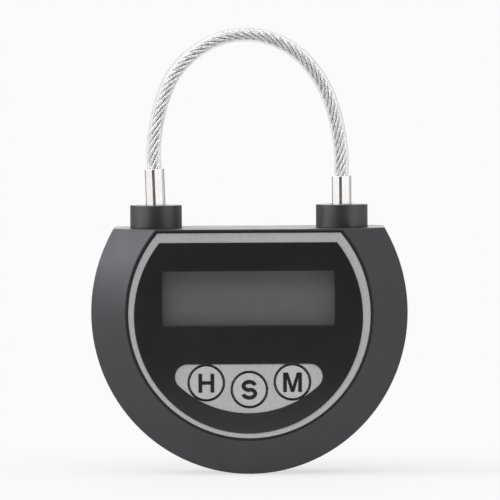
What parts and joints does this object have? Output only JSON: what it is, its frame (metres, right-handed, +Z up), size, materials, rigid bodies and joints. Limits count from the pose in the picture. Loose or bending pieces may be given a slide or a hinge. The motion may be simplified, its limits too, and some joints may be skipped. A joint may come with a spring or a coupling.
{
  "type": "timer padlock",
  "caption": "Round timer padlock with a flat top, a coated cable loop held by a motor-driven latch, a display window and round keys.",
  "frame": {"origin": "lowest point of the round casing, midway between its sides and between its front rim and its back", "axes": "+X to the right as seen from the front, +Y from the face to the back, +Z up towards the cable loop"},
  "size_m": [0.066, 0.026, 0.0931],
  "materials": {
    "casing": "fine satin moulded ABS",
    "collar": "fine matte grain",
    "face_silver": "fine-grained satin silver",
    "face_black": "glossy black film",
    "lens": "smoked clear acrylic",
    "display": "grey display glass",
    "inner_plastic": "moulded",
    "zebra": "silicone rubber",
    "board": "solder mask on glass laminate",
    "chips": "epoxy",
    "screws": "zinc plated",
    "cells": "plain film sleeve",
    "contacts": "nickel plated spring steel",
    "motor_steel": "plated can",
    "bright_steel": "turned and ground",
    "zinc": "die-cast zinc",
    "ferrule": "nickel plated, satin",
    "cable": "steel rope in a clear jacket",
    "wires": "PVC insulation",
    "keys": "satin silver paint",
    "gear_plastic": "natural acetal",
    "pinion_brass": "machined"
  },
  "bodies": {
    "root": {"front_shell": "casing", "back_shell": "casing", "left_collar": "collar", "right_collar": "collar", "face_plate": "face_silver", "face_overlay": "face_black", "window_lens": "lens", "lcd_glass": "display", "lcd_frame": "inner_plastic", "zebra_strips": "zebra", "main_pcb": "board", "pcb_components": "chips", "pcb_screws": "screws", "tact_switches": "inner_plastic", "battery_cells": "cells", "contact_springs": "contacts", "contact_plates": "contacts", "motor_can": "motor_steel", "gear_axle": "bright_steel", "latch_block": "zinc", "block_screws": "screws", "anchor_pin": "bright_steel", "anchor_clip": "bright_steel", "left_ferrule": "ferrule", "cable": "cable", "casing_screws": "screws", "motor_wires": "wires", "battery_wires": "wires"},
    "hour_key": {"key_hour": "keys", "switch_plunger_hour": "inner_plastic"},
    "set_key": {"key_set": "keys", "switch_plunger_set": "inner_plastic"},
    "minute_key": {"key_minute": "keys", "switch_plunger_minute": "inner_plastic"},
    "bolt": {"latch_bolt": "bright_steel"},
    "gear": {"drive_gear": "gear_plastic"},
    "rotor": {"motor_pinion": "pinion_brass", "motor_shaft": "bright_steel"},
    "plug": {"plug_pin": "bright_steel", "right_ferrule": "ferrule"},
    "door": {"battery_door": "casing", "door_screws": "screws"}
  },
  "joints": [
    {"name": "hour_key_press", "type": "slide", "parent": "root", "child": "hour_key", "axis": [0, 1, 0], "range_m": [0, 0.0005], "stiffness_N_per_m": 400},
    {"name": "set_key_press", "type": "slide", "parent": "root", "child": "set_key", "axis": [0, 1, 0], "range_m": [0, 0.0005], "stiffness_N_per_m": 400},
    {"name": "minute_key_press", "type": "slide", "parent": "root", "child": "minute_key", "axis": [0, 1, 0], "range_m": [0, 0.0005], "stiffness_N_per_m": 400},
    {"name": "gear_turn", "type": "hinge", "parent": "root", "child": "gear", "pos_m": [0.003, 0, 0.0441], "axis": [0, 1, 0], "range_deg": [0, 94.6]},
    {"name": "bolt_slide", "type": "slide", "parent": "root", "child": "bolt", "axis": [1, 0, 0], "range_m": [0, 0.0033]},
    {"name": "motor_turn", "type": "hinge", "parent": "root", "child": "rotor", "pos_m": [-0.00301, 0, 0.04191], "axis": [0, 1, 0], "range_deg": [-208, 0]},
    {"name": "plug_pull", "type": "slide", "parent": "root", "child": "plug", "axis": [0, 0, 1], "range_m": [0, 0.015], "deforming": ["cable"]},
    {"name": "door_lift", "type": "slide", "parent": "root", "child": "door", "axis": [0, 1, 0], "range_m": [0, 0.01]}
  ],
  "couplings": [
    {"joint": "gear_turn", "follows": "bolt_slide", "rad_per_m": 500},
    {"joint": "motor_turn", "follows": "bolt_slide", "rad_per_m": -1100}
  ]
}
